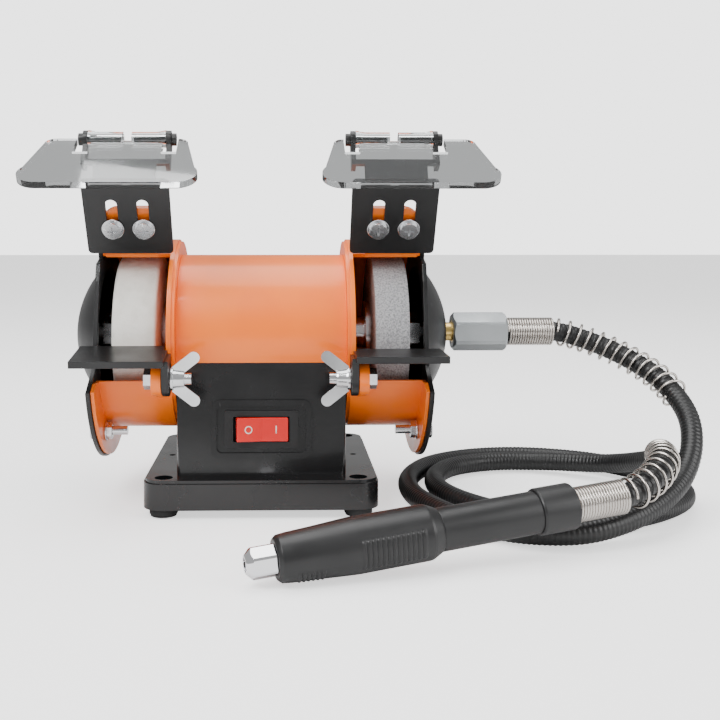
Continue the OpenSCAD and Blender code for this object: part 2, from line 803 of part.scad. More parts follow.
// Clear plate with two knuckles round the hinge screws.
module eye_shield() {
    rear = shield_rear_w / 2;
    front = shield_front_w / 2;
    color([0.8, 0.9, 0.95, 0.4]) translate([shield_x, hinge_y, hinge_z]) rotate([shield_drop, 0, 0])
        difference() {
        union() {
            translate([shield_shift, 0, -shield_low]) linear_extrude(shield_t) difference() {
                union() {
                    polygon([[5 - rear, 0.6], [rear - 5, 0.6], [rear, -4.4], [front - 0.6, 9 - shield_reach],
                        [front - 9, -shield_reach], [9 - front, -shield_reach],
                        [0.6 - front, 9 - shield_reach], [-rear, -4.4]]);
                    for (s = [-1, 1]) {
                        translate([s * (rear - 5), -4.4]) circle(5, $fn = mid);
                        translate([s * (front - 9), 9 - shield_reach]) circle(9, $fn = mid);
                    }
                }
                for (s = [-1, 1]) translate([s * (ear_x + 1.8) - shield_shift - 3.3, -notch_in])
                    square([6.6, notch_in + 3]);
            }
            for (s = [-1, 1]) rotate([0, s * 90, 0]) {
                translate([0, 0, 2]) cylinder(h = ear_x - gap - 2, r = knuckle_r, $fn = mid);
                translate([0, 0, ear_x - gap - 4])
                    cylinder(h = 4, r1 = knuckle_r, r2 = knuckle_r + 0.8, $fn = mid);
            }
        }
        translate([-ear_x, 0, 0]) rotate([0, 90, 0]) cylinder(h = 2 * ear_x, r = pin_r + fit, $fn = mid);
    }
}

module left_eye_shield() {
    left() eye_shield();
}

module right_eye_shield() {
    eye_shield();
}

// ---- flexible shaft ------------------------------------------------------

module shaft_outlet() {
    color([0.8, 0.62, 0.25]) along_x(outlet_x - 4) difference() {
        union() {
            cylinder(h = 3, r = 8, $fn = mid);
            cylinder(h = nut_x - outlet_x + 5, r = neck_r, $fn = mid);
            translate([0, 0, nut_x - outlet_x + 4.2]) cylinder(h = 11, r = thread_r, $fn = mid);
        }
        translate([0, 0, -1]) cylinder(h = 40, r = tip_r + 0.6, $fn = mid);
    }
}

module coupling_nut() {
    color([0.6, 0.62, 0.64]) along_x(nut_x) difference() {
        intersection() {
            hex(coupling_af, nut_l);
            union() {
                cylinder(h = 1.2, d1 = coupling_af - 1, d2 = coupling_af + 1.6, $fn = fine);
                translate([0, 0, 1.2]) cylinder(h = nut_l - 2.2, d = coupling_af + 1.6, $fn = fine);
                translate([0, 0, nut_l - 1]) cylinder(h = 1, d1 = coupling_af + 1.6, d2 = coupling_af,
                    $fn = fine);
            }
        }
        translate([0, 0, -1]) cylinder(h = 14.5, r = thread_r + fit, $fn = mid);
        translate([0, 0, -1]) cylinder(h = nut_l + 2, r = 3, $fn = mid);
    }
}

// Closely wound end of an anti-kink spring, along +Z.
module ferrule(l) {
    turns = floor(l / spring_wire);
    difference() {
        union() {
            cylinder(h = l, r = spring_r - 0.35, $fn = mid);
            for (i = [0:turns - 1]) translate([0, 0, spring_wire * (i + 0.15)])
                cylinder(h = spring_wire * 0.7, r = spring_r, $fn = mid);
        }
        translate([0, 0, -1]) cylinder(h = l + 2, r = hose_r + 0.9, $fn = mid);
    }
}

module machine_ferrule_spring() {
    color([0.6, 0.56, 0.52]) along_x(hose_x) ferrule(ferrule_l);
}

// A smooth curve through the route's points.
function smooth(a, b, c, d, t) = 0.5 * (2 * b + (c - a) * t + (2 * a - 5 * b + 4 * c - d) * t * t
    + (3 * b - a - 3 * c + d) * t * t * t);
last = len(route) - 1;
function near(i) = i < 0 ? 2 * route[0] - route[1] : i > last ? 2 * route[last] - route[last - 1] : route[i];
function spot(u) = let (i = min(floor(u), last - 1))
    smooth(near(i - 1), near(i), near(i + 1), near(i + 2), u - i);
function unit(v) = v / norm(v);
function heading(u) = unit(spot(min(u + 0.02, last)) - spot(max(u - 0.02, 0)));
// Two directions across the curve, one level and one upright.
function across(u) = unit(cross(heading(u), [0.1, 0.05, 1]));
function upright(u) = cross(across(u), heading(u));
function around(u, r, a) = spot(u) + r * cos(a) * across(u) + r * sin(a) * upright(u);

// Closed tube through a list of rings of equal size.
module tube(rings) {
    n = len(rings[0]);
    m = len(rings);
    points = [for (ring = rings) each ring];
    sides = [for (i = [0:m - 2], j = [0:n - 1]) let (k = (j + 1) % n)
        [i * n + j, i * n + k, (i + 1) * n + k, (i + 1) * n + j]];
    ends = [[for (j = [n - 1:-1:0]) j], [for (j = [0:n - 1]) (m - 1) * n + j]];
    polyhedron(points = points, faces = concat(ends, sides), convexity = 8);
}

module hose() {
    color([0.06, 0.06, 0.06]) tube([for (i = [0:2 * last]) [for (j = [0:9])
        around(i / 2, hose_r, -36 * j)]]);
}

// Open spring wound round the hose between two stations of the route.
module open_spring(u0, u1, turns) {
    steps = turns * 12;
    coil_r = spring_r - spring_wire / 2;
    tube([for (i = [0:steps]) let (u = u0 + (u1 - u0) * i / steps, a = 360 * turns * i / steps,
        c = around(u, coil_r, a), out = unit(c - spot(u)), h = heading(u))
        [for (j = [0:5]) c + spring_wire / 2 * (cos(60 * j) * out + sin(60 * j) * h)]]);
}

module machine_open_spring() {
    color([0.65, 0.62, 0.58]) open_spring(1.04, 4.5, 13);
}

// ---- handpiece -----------------------------------------------------------

module at_hand(s = 0) {
    translate(nose) rotate([0, 0, hand_yaw]) rotate([0, 90 - hand_pitch, 0])
        translate([0, 0, s]) children();
}

module hand_front_body() {
    color([0.07, 0.07, 0.07]) at_hand(front_s) difference() {
        union() {
            cylinder(h = 1.2, d1 = hand_nose_d - 2, d2 = hand_nose_d, $fn = fine);
            translate([0, 0, 1.2]) cylinder(h = 26, d1 = hand_nose_d, d2 = hand_grip_d, $fn = fine);
            translate([0, 0, 27.2]) cylinder(h = grip_s - front_s - 31.2, d = hand_grip_d, $fn = fine);
            translate([0, 0, grip_s - front_s - 4])
                cylinder(h = 4, d1 = hand_grip_d, d2 = hand_tube_d, $fn = fine);
        }
        translate([0, 0, -1]) cylinder(h = 80, r = hand_bore_r, $fn = mid);
    }
}

module hand_rear_tube() {
    color([0.09, 0.09, 0.09]) at_hand(grip_s) difference() {
        cylinder(h = tube_end_s - grip_s, d = hand_tube_d, $fn = fine);
        translate([0, 0, -1]) cylinder(h = 60, r = hand_bore_r, $fn = mid);
    }
}

module hand_collar() {
    color([0.05, 0.05, 0.05]) at_hand(collar_s) difference() {
        union() {
            cylinder(h = 1, d1 = hand_tube_d + 0.8, d2 = hand_tube_d + 1.8, $fn = fine);
            translate([0, 0, 1]) cylinder(h = hand_l - collar_s - 1, d = hand_tube_d + 1.8, $fn = fine);
        }
        translate([0, 0, -1]) cylinder(h = tube_end_s - collar_s + 1, d = hand_tube_d, $fn = fine);
        translate([0, 0, -1]) cylinder(h = 30, r = 3, $fn = mid);
    }
}

module hand_bearings() {
    color("silver") for (s = [22, 62]) at_hand(s) difference() {
        cylinder(h = 5, r = hand_bore_r, $fn = mid);
        translate([0, 0, -1]) cylinder(h = 7, r = 3 + fit, $fn = mid);
    }
}

module hand_spindle() {
    color([0.75, 0.75, 0.78]) at_hand(12.5) difference() {
        union() {
            cylinder(h = 9, r = 4.6, $fn = mid);
            cylinder(h = 100, r = 3, $fn = mid);
        }
        translate([0, 0, -1]) cylinder(h = 9, r = collet_r, $fn = mid);
    }
}

module collet() {
    color([0.8, 0.8, 0.82]) at_hand(0.8) difference() {
        cylinder(h = 18, r = collet_r, $fn = mid);
        translate([0, 0, -1]) cylinder(h = 20, d = collet_bore, $fn = mid);
        for (a = [0, 90]) rotate([0, 0, a]) translate([-3, -0.2, -1]) cube([6, 0.4, 12]);
    }
}

module collet_nut() {
    color([0.85, 0.85, 0.87]) at_hand() difference() {
        intersection() {
            hex(10.5, collet_nut_l);
            union() {
                cylinder(h = 2.5, d1 = 6.5, d2 = 11.6, $fn = fine);
                translate([0, 0, 2.5]) cylinder(h = collet_nut_l - 2.5, d = 11.6, $fn = fine);
            }
        }
        translate([0, 0, -1]) cylinder(h = 16, r = collet_r + fit, $fn = mid);
    }
}

module hand_ferrule_spring() {
    color([0.75, 0.72, 0.68]) at_hand(hand_l) ferrule(tail_ferrule - 0.5);
}

module hand_open_spring() {
    color([0.7, 0.68, 0.64]) open_spring(last - 1.05, last - 4.1, 11);
}

base_housing();
bottom_plate();
rubber_feet();
base_screws();
switch_body();
switch_rocker();
cable_gland();
terminal_block();
motor_barrel();
stator_core();
field_coils();
brush_holders();
carbon_brushes();
spindle();
armature_core();
armature_windings();
commutator();
cooling_fan();
bearing_outer_races();
bearing_inner_races();
left_guard();
right_guard();
left_cover();
right_cover();
cover_bolts();
cover_nuts();
felt_wheel();
grinding_wheel();
wheel_flanges();
spindle_nuts();
rest_bolts();
left_tool_rest();
right_tool_rest();
left_wing_nut();
right_wing_nut();
bracket_screws();
bracket_washers();
left_bracket();
right_bracket();
left_hinge_screws();
right_hinge_screws();
left_eye_shield();
right_eye_shield();
shaft_outlet();
coupling_nut();
machine_ferrule_spring();
machine_open_spring();
hose();
hand_front_body();
hand_rear_tube();
hand_collar();
hand_bearings();
hand_spindle();
collet();
collet_nut();
hand_ferrule_spring();
hand_open_spring();
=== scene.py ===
# %% [markdown]
# A bench grinder carries a wheel on each end of a motor's spindle. The shape of its castings,
# sheet parts and fasteners is settled in CAD, and this script only gives them their looks.
# The CAD model comes in as a fixed frame.

# %% Load the frame
import json
import math
import random
import bmesh
import bpy
import numpy as np
from mathutils import Matrix, Vector

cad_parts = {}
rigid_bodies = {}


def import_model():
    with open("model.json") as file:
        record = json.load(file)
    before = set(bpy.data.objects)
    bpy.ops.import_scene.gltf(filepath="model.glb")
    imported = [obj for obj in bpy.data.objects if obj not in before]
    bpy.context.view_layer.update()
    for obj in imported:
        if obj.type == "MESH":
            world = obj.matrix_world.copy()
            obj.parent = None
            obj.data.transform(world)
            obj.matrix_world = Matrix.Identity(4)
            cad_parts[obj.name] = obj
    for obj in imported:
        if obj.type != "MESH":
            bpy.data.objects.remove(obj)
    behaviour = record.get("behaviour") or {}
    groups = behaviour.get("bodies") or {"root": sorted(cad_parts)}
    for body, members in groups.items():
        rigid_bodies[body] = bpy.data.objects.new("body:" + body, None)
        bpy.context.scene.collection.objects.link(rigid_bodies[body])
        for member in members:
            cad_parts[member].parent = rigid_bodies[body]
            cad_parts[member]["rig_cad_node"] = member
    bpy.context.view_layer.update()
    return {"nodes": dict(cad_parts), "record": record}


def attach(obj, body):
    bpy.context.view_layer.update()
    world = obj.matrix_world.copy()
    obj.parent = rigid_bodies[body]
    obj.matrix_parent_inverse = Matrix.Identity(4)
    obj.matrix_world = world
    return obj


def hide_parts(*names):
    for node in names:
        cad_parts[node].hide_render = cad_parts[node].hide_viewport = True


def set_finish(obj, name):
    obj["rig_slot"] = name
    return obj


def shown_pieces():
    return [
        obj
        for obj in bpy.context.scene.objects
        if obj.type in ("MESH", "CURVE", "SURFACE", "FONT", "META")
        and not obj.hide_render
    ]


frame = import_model()
MM = 0.001

# %% [markdown]
# The camera stands half a metre in front, a little above the wheels, as a person at the bench
# does. It looks almost level, so that upright edges stay upright, and a shift of the lens brings
# the object into the frame. The shift stays in every other view, so it is no larger than needed.

# %% Camera
camera = bpy.data.objects.new("camera", bpy.data.cameras.new("camera"))
bpy.context.scene.collection.objects.link(camera)
camera.location = (0.0087, -0.4869, 0.1232)
camera.rotation_euler = (math.radians(90 - 1.75), 0, math.radians(-1.24))
camera.data.lens = 50.15
camera.data.shift_x = 0.08
camera.data.shift_y = -0.13
camera.data.dof.use_dof = False
bpy.context.scene.camera = camera

# %% [markdown]
# Every new piece needs the same four things: a mesh, a finish, a body to ride on and the CAD
# node it stands for. One helper does all four, so that no piece can be left behind.

# %% Helpers for pieces
def piece(name, verts, faces, body, slot, stands_for=(), smooth=True):
    mesh = bpy.data.meshes.new(name)
    mesh.from_pydata([tuple(v) for v in verts], [], faces)
    mesh.validate()
    bm = bmesh.new()
    bm.from_mesh(mesh)
    bmesh.ops.recalc_face_normals(bm, faces=bm.faces)
    bm.to_mesh(mesh)
    bm.free()
    mesh.polygons.foreach_set("use_smooth", [smooth] * len(mesh.polygons))
    made = bpy.data.objects.new(name, mesh)
    bpy.context.scene.collection.objects.link(made)
    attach(made, body)
    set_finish(made, slot)
    if stands_for:
        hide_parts(*stands_for)
    print(name, len(mesh.vertices), "points on", body)
    return made


def sweep(line, radius, sides):
    """Closed tube along a line of points; radius is one number or one per point."""
    line = np.asarray(line, float)
    radius = np.broadcast_to(radius, len(line))
    ahead = np.gradient(line, axis=0)
    ahead /= np.linalg.norm(ahead, axis=1)[:, None]
    side = np.cross(ahead[0], (0.1, 0.05, 1.0))
    verts = []
    for centre, way, size in zip(line, ahead, radius):
        side = side - way * (side @ way)
        side /= np.linalg.norm(side)
        up = np.cross(way, side)
        for k in range(sides):
            a = 2 * math.pi * k / sides
            verts.append(centre + size * (math.cos(a) * side + math.sin(a) * up))
    return verts, ring_faces(len(line), sides)


def ring_faces(rings, sides):
    faces = [(i * sides + k, i * sides + (k + 1) % sides,
              (i + 1) * sides + (k + 1) % sides, (i + 1) * sides + k)
             for i in range(rings - 1) for k in range(sides)]
    last_ring = (rings - 1) * sides
    return faces + [tuple(range(sides)), tuple(range(last_ring, last_ring + sides))]


# %% [markdown]
# The flexible shaft's hose lies on the bench in two loops. The route is the same list of points
# that the CAD tube follows, joined by a Catmull-Rom curve, which passes through every point.

# %% Route of the hose
AXIS_Z = 0.0765
yaw, pitch = math.radians(14.3), math.radians(5.2)
hand_dir = np.array([math.cos(pitch) * math.cos(yaw), math.cos(pitch) * math.sin(yaw), math.sin(pitch)])
nose = np.array([-4, -139, 8.0])
tail = nose + 128 * hand_dir
route = np.array([
    (118.2, 0, 76.5), (141.7, 0, 76.5), (160, -2, 71.5), (176, -10, 64), (187, -24, 55), (192, -40, 43),
    (189, -53, 30.5), (180, -64, 19), (165, -77, 12), (147, -89, 8), (127, -95.5, 5.6), (105, -92, 5),
    (87, -77, 5), (75, -54, 5), (69, -28, 5), (72, 0, 5), (86, 26.5, 5), (110, 43, 5), (138, 46.5, 5),
    (166, 36, 5), (186.5, 14.5, 5), (196, -13, 5), (191, -41, 5), (170, -63.5, 5), (143, -76.5, 5),
    (116, -73.5, 5), (96, -55, 5), (84, -30, 5), (83.5, -3, 5), (96, 20.5, 5), (119, 32.5, 5),
    (145, 31, 5.4), (174, 10, 9), (184, -25.5, 19), (173, -59, 28.5), (166, -80, 29.5), (156.5, -93, 26),
    tail + 24 * hand_dir, tail]) * MM
LAST = len(route) - 1
padded_route = np.vstack([2 * route[0] - route[1], route, 2 * route[-1] - route[-2]])


def spot(u):
    i = min(int(u), LAST - 1)
    t = u - i
    a, b, c, d = padded_route[i:i + 4]
    return 0.5 * (2 * b + (c - a) * t + (2 * a - 5 * b + 4 * c - d) * t * t
                  + (3 * b - a - 3 * c + d) * t ** 3)


def even(u0, u1, step):
    """Points a step apart along the route between two stations."""
    fine = np.array([spot(u) for u in np.linspace(u0, u1, int(abs(u1 - u0) * 40) + 2)])
    run = np.concatenate([[0], np.cumsum(np.linalg.norm(np.diff(fine, axis=0), axis=1))])
    at = np.linspace(0, run[-1], int(run[-1] / step) + 1)
    return np.stack([np.interp(at, run, fine[:, k]) for k in range(3)], 1), run[-1]


# %% [markdown]
# The sheath is rubber moulded with fine ribs, which let it bend. Ribs made as real rings catch
# the light along every curve, where a bump would vanish on the outline.

# %% Hose with its ribs
HOSE_R = 4.75 * MM
RIB = 2.0 * MM
hose_line, hose_length = even(0, LAST, RIB / 4)
rib_wave = np.array([0.0, -0.13, -0.26, -0.13]) * MM
hose_radius = HOSE_R + rib_wave[np.arange(len(hose_line)) % 4]
hose = piece("hose_sheath", *sweep(hose_line, hose_radius, 20), "frame", "hose_rubber", ["hose"])
print("hose length", round(hose_length, 4))

# %% [markdown]
# Anti-kink springs keep the hose from folding where it enters a fitting. Each end has a
# close-wound ferrule and an open coil. Both are one wire swept along a helix.

# %% Springs
WIRE_R = 0.6 * MM
COIL_R = 6.2 * MM


def coil(name, line, turns, stands_for):
    line = np.asarray(line, float)
    count = int(turns * 28)
    at = np.linspace(0, len(line) - 1, count)
    centre = np.stack([np.interp(at, np.arange(len(line)), line[:, k]) for k in range(3)], 1)
    ahead = np.gradient(centre, axis=0)
    ahead /= np.linalg.norm(ahead, axis=1)[:, None]
    across = np.cross(ahead, (0.1, 0.05, 1.0))
    across /= np.linalg.norm(across, axis=1)[:, None]
    up = np.cross(across, ahead)
    a = np.linspace(0, 2 * math.pi * turns, count)[:, None]
    wire = centre + COIL_R * (np.cos(a) * across + np.sin(a) * up)
    return piece(name, *sweep(wire, WIRE_R, 10), "frame", "spring_steel", [stands_for])


springs = [
    coil("machine_coil", even(1.04, 4.5, MM)[0], 13, "machine_open_spring"),
    coil("hand_coil", even(LAST - 1.05, LAST - 4.1, MM)[0], 11, "hand_open_spring"),
    coil("machine_ferrule_coil", [route[0] + (WIRE_R, 0, 0), route[0] + (23.5 * MM - WIRE_R, 0, 0)],
         18.6, "machine_ferrule_spring"),
    coil("hand_ferrule_coil", [(tail + 0.6 * hand_dir) * MM, (tail + 22.9 * hand_dir) * MM],
         18.6, "hand_ferrule_spring")]

# %% [markdown]
# The handpiece's front body is moulded plastic, held like a pen. Two pads of raised ribs stop
# the fingers from slipping. It is turned from an outline, and the ribs are pushed out of the
# turned skin over part of its girth.

# %% Handpiece body
hand_side = np.cross(hand_dir, (0, 0, 1.0))
hand_side /= np.linalg.norm(hand_side)
hand_up = np.cross(hand_side, hand_dir)
# station and radius along the body, in millimetres from the nose
HAND_START, HAND_END, HAND_BORE_R = 11, 73, 6.5
HAND_OUTLINE = [(HAND_START, HAND_BORE_R), (11, 7.2), (11.5, 7.7), (12.4, 8.4), (16, 8.8), (24, 9.2),
                (37, 10.05), (41, 10.25), (68, 10.25), (69, 10.05), (72.3, 8.5), (73, 8.0),
                (HAND_END, HAND_BORE_R)]
# first station, rib count, pitch, middle of the pad's girth and half its width in degrees
GRIP_PADS = [(40.5, 13, 1.9, -8, 32), (17, 6, 1.7, -42, 20)]


def pad_height(s, angle):
    rise = 0.0
    for start, ribs, step, middle, half in GRIP_PADS:
        away = abs((angle - middle + 180) % 360 - 180)
        inside = min(1.0, max(0.0, (half - away) / 3))
        if start <= s <= start + ribs * step and inside > 0:
            wave = 0.5 - 0.5 * math.cos(2 * math.pi * (s - start) / step)
            rise = max(rise, inside * 0.5 * min(1.0, 1.6 * wave))
    return rise


stations = sorted({s for s, _ in HAND_OUTLINE} | {round(11 + 0.24 * i, 2) for i in range(259)})
outline_s = [s for s, _ in HAND_OUTLINE[1:-1]]
outline_r = [r for _, r in HAND_OUTLINE[1:-1]]
GIRTH = 144
rows = [(HAND_START, HAND_BORE_R, 0)]
rows += [(s, float(np.interp(s, outline_s, outline_r)), 1) for s in stations if s <= HAND_END]
rows += [(HAND_END, HAND_BORE_R, 0)]
hand_verts = []
for s, r, ribbed in rows:
    for k in range(GIRTH):
        angle = 360 * k / GIRTH
        size = r + (pad_height(s, angle) if ribbed else 0)
        a = math.radians(angle)
        out = math.cos(a) * hand_side + math.sin(a) * hand_up
        hand_verts.append((nose + s * hand_dir + size * out) * MM)
piece("grip_body", hand_verts, ring_faces(len(rows), GIRTH), "frame", "black_plastic",
      ["hand_front_body"])


# %% [markdown]
# Both wheels turn on the spindle. Felt is pressed wool, soft at its corners and hairy. A
# grindstone is bonded grit, so its skin is broken by grains and pores at every point. Both are
# turned from an outline with rounded corners, and seeded noise roughens them.

# %% Wheels
def turned_wheel(name, x0, x1, radius, bore, corner, rough, slot, node, seed):
    draw = random.Random(seed)
    around, outline = 300, [(x0, bore)]
    outline += [(x0, bore + (radius - corner - bore) * i / 26) for i in range(1, 27)]
    outline += [(x0 + corner * (1 - math.cos(a)), radius - corner + corner * math.sin(a))
                for a in (math.pi / 2 * i / 6 for i in range(1, 7))]
    outline += [(x0 + corner + (x1 - x0 - 2 * corner) * i / 22, radius) for i in range(1, 23)]
    outline += [(x1 - corner * (1 - math.cos(a)), radius - corner + corner * math.sin(a))
                for a in (math.pi / 2 * i / 6 for i in range(5, -1, -1))]
    outline += [(x1, bore + (radius - corner - bore) * i / 26) for i in range(25, -1, -1)]
    verts = []
    for x, r in outline:
        for k in range(around):
            a = 2 * math.pi * k / around
            dip = draw.uniform(0, rough) if r > bore + 1 else 0
            inward = 1 if x < (x0 + x1) / 2 else -1
            at_face = abs(x - x0) < 0.01 or abs(x - x1) < 0.01
            size = r - (0 if at_face else dip)
            verts.append(((x + (inward * dip if at_face else 0)) * MM, size * math.cos(a) * MM,
                          AXIS_Z + size * math.sin(a) * MM))
    faces = [f for f in ring_faces(len(outline), around)[:-2]]
    end = (len(outline) - 1) * around
    faces += [(end + k, end + (k + 1) % around, (k + 1) % around, k) for k in range(around)]
    return piece(name, verts, faces, "rotor", slot, [node])


turned_wheel("felt_disc", -67.3, -47.3, 37.4, 5, 1.6, 0.16, "felt", "felt_wheel", 3)
turned_wheel("stone_disc", 51.5, 67, 37.5, 5, 0.5, 0.22, "grindstone", "grinding_wheel", 5)

# %% [markdown]
# Loose wool stands off the felt's rim. Each hair is a thin bent spike of three sides, and a few
# thousand of them break up the hard outline that a turned solid has.

# %% Felt hairs
draw = random.Random(11)
hair_verts, hair_faces = [], []
HAIRS, HAIR_R, HAIR_ROOT_R = 2600, 0.035, 37.15
for _ in range(HAIRS):
    a, x = draw.uniform(0, 2 * math.pi), draw.uniform(-66.6, -48)
    out = np.array([0, math.cos(a), math.sin(a)])
    lean = np.array([draw.uniform(-1, 1), -math.sin(a) * draw.uniform(-1, 1),
                     math.cos(a) * draw.uniform(-1, 1)])
    root = np.array([x, 0, 76.5]) + HAIR_ROOT_R * out
    reach = draw.uniform(0.25, 0.75)
    tip = root + reach * (out + 0.7 * lean)
    start = len(hair_verts)
    for k in range(3):
        b = 2 * math.pi * k / 3
        sideways = math.cos(b) * np.array([1, 0, 0]) + math.sin(b) * np.cross(out, (1, 0, 0))
        hair_verts.append((root + HAIR_R * sideways) * MM)
    hair_verts.append(tip * MM)
    hair_faces += [(start, start + 1, start + 3), (start + 1, start + 2, start + 3),
                   (start + 2, start, start + 3), (start, start + 2, start + 1)]
piece("felt_hairs", hair_verts, hair_faces, "rotor", "felt")

# %% [markdown]
# The rocker carries the usual marks for on and off, a bar and a ring, moulded in white. They are
# thin raised shapes that sit on its two sloping faces and tip with it.

# %% Rocker marks
lean = math.atan(5 / 50)
switch_place = (Matrix.Translation((0, -0.039, 0.0365)) @ Matrix.Rotation(-lean, 4, "X")
                @ Matrix.Rotation(math.radians(8), 4, "Z"))
slope = math.atan(1.6 / 11.5)


def mark_outline(kind):
    turn = [2 * math.pi * k / 40 for k in range(40)]
    if kind == "ring":
        return [[(r * math.cos(a), r * math.sin(a)) for a in turn] for r in (1.75, 1.3)]
    return [(0.25 * math.cos(a), 0.25 * math.sin(a) + (1.5 if math.sin(a) > 0 else -1.5)) for a in turn], None


mark_verts, mark_faces = [], []
for kind, side in (("ring", -1), ("bar", 1)):
    place = (switch_place @ Matrix.Translation((side * 6.2 * MM, -3.663 * MM, 0))
             @ Matrix.Rotation(-side * slope, 4, "Z"))
    outer, inner = mark_outline(kind)
    loops = [[place @ Vector((x * MM, y * MM, z * MM)) for x, z in ring]
             for ring in (outer, inner) if ring for y in (0.05, -0.09)]
    start, n = len(mark_verts), 40
    for loop in loops:
        mark_verts += loop
    for k in range(n):
        j = (k + 1) % n
        mark_faces.append((start + k, start + j, start + n + j, start + n + k))
        if inner:
            mark_faces += [(start + 2 * n + k, start + 2 * n + j, start + 3 * n + j, start + 3 * n + k),
                           (start + n + k, start + n + j, start + 3 * n + j, start + 3 * n + k),
                           (start + k, start + j, start + 2 * n + j, start + 2 * n + k)]
    if not inner:
        mark_faces += [tuple(range(start, start + n)), tuple(range(start + n, start + 2 * n))]
piece("rocker_marks", mark_verts, mark_faces, "rocker", "cream_plastic")

# %% [markdown]
# A pressed or cast part never has a razor edge. Each CAD solid keeps its mesh, and modifiers that
# only show on top of it join its split points and round its edges a little, so that every edge
# draws a thin line of light. The last modifier weights the shading by the size of the faces,
# which keeps large flat faces flat. Where round faces meet at a step it still shades softly.

# %% Rounded edges on the CAD parts
EDGE = {"base_housing": 0.7, "motor_barrel": 0.3, "left_guard": 0.35, "right_guard": 0.35, "left_cover": 0.3,
        "right_cover": 0.3, "left_tool_rest": 0.35, "right_tool_rest": 0.35, "left_bracket": 0.25,
        "right_bracket": 0.25, "left_eye_shield": 0.35, "right_eye_shield": 0.35, "switch_rocker": 0.4,
        "switch_body": 0.3, "coupling_nut": 0.25, "hand_rear_tube": 0.3, "hand_collar": 0.35}
softened = 0
for node, solid in frame["nodes"].items():
    if solid.hide_render:
        continue
    join = solid.modifiers.new("join", "WELD")
    join.merge_threshold = 0.00001
    edge = solid.modifiers.new("edge", "BEVEL")
    edge.width = EDGE.get(node, 0.15) * MM
    edge.segments = 2
    edge.limit_method = "ANGLE"
    edge.angle_limit = math.radians(35)
    flat = solid.modifiers.new("flat", "WEIGHTED_NORMAL")
    flat.keep_sharp = True
    softened += 1
print("rounded the edges of", softened, "CAD parts")

# %% [markdown]
# Real finishes vary. Paint has a faint orange-peel skin, plastic a moulded grain, and metal
# carries smears and fine scratches. Each effect is a node group built once, which gives only a
# value, height or colour, and every finish places it with sizes of its own.

# %% Effect groups
def group(name, inputs, output, kind="NodeSocketFloat"):
    made = bpy.data.node_groups.new(name, "ShaderNodeTree")
    for label, socket, value in inputs:
        made.interface.new_socket(label, in_out="INPUT", socket_type=socket).default_value = value
    made.interface.new_socket(output, in_out="OUTPUT", socket_type=kind)
    return made, made.nodes.new("NodeGroupInput"), made.nodes.new("NodeGroupOutput")


def noise_in(made, source, scale, stretch=None, detail=4.0):
    place = made.nodes.new("ShaderNodeTexCoord")
    noise = made.nodes.new("ShaderNodeTexNoise")
    noise.inputs["Detail"].default_value = detail
    where = place.outputs["Object"]
    if stretch:
        mapping = made.nodes.new("ShaderNodeMapping")
        mapping.inputs["Scale"].default_value = stretch
        made.links.new(where, mapping.inputs["Vector"])
        where = mapping.outputs["Vector"]
    made.links.new(where, noise.inputs["Vector"])
    made.links.new(source.outputs[scale], noise.inputs["Scale"])
    return noise


FLOAT = "NodeSocketFloat"
patches, given, result = group("smears", [("Scale", FLOAT, 60), ("Low", FLOAT, 0.3),
                                          ("High", FLOAT, 0.4)], "Roughness")
noise = noise_in(patches, given, "Scale", detail=6)
spread = patches.nodes.new("ShaderNodeMapRange")
spread.inputs["From Min"].default_value = 0.3
spread.inputs["From Max"].default_value = 0.7
patches.links.new(noise.outputs["Fac"], spread.inputs["Value"])
patches.links.new(given.outputs["Low"], spread.inputs["To Min"])
patches.links.new(given.outputs["High"], spread.inputs["To Max"])
patches.links.new(spread.outputs["Result"], result.inputs["Roughness"])

relief, given, result = group("grain", [("Scale", FLOAT, 900), ("Scratches", FLOAT, 0.2)], "Height")
noise = noise_in(relief, given, "Scale")
lines = noise_in(relief, given, "Scale", stretch=(0.03, 1.0, 1.0), detail=2)
blend = relief.nodes.new("ShaderNodeMix")
relief.links.new(given.outputs["Scratches"], blend.inputs["Factor"])
relief.links.new(noise.outputs["Fac"], blend.inputs["A"])
relief.links.new(lines.outputs["Fac"], blend.inputs["B"])
relief.links.new(blend.outputs["Result"], result.inputs["Height"])

shade, given, result = group("tint", [("Scale", FLOAT, 40), ("Main", "NodeSocketColor", (1, 1, 1, 1)),
                                      ("Other", "NodeSocketColor", (0, 0, 0, 1))], "Color", "NodeSocketColor")
noise = noise_in(shade, given, "Scale", detail=5)
pick = shade.nodes.new("ShaderNodeMapRange")
pick.inputs["From Min"].default_value = 0.4
pick.inputs["From Max"].default_value = 0.75
mix = shade.nodes.new("ShaderNodeMix")
mix.data_type = "RGBA"
shade.links.new(noise.outputs["Fac"], pick.inputs["Value"])
shade.links.new(pick.outputs["Result"], mix.inputs[0])
shade.links.new(given.outputs["Main"], mix.inputs[6])
shade.links.new(given.outputs["Other"], mix.inputs[7])
shade.links.new(mix.outputs[2], result.inputs["Color"])
print("effect groups", [g.name for g in bpy.data.node_groups])

# %% [markdown]
# A finish is one shader with the groups plugged into it. What changes over the surface comes from
# a group, and what is the same everywhere, such as a coat of lacquer, is set on the shader.

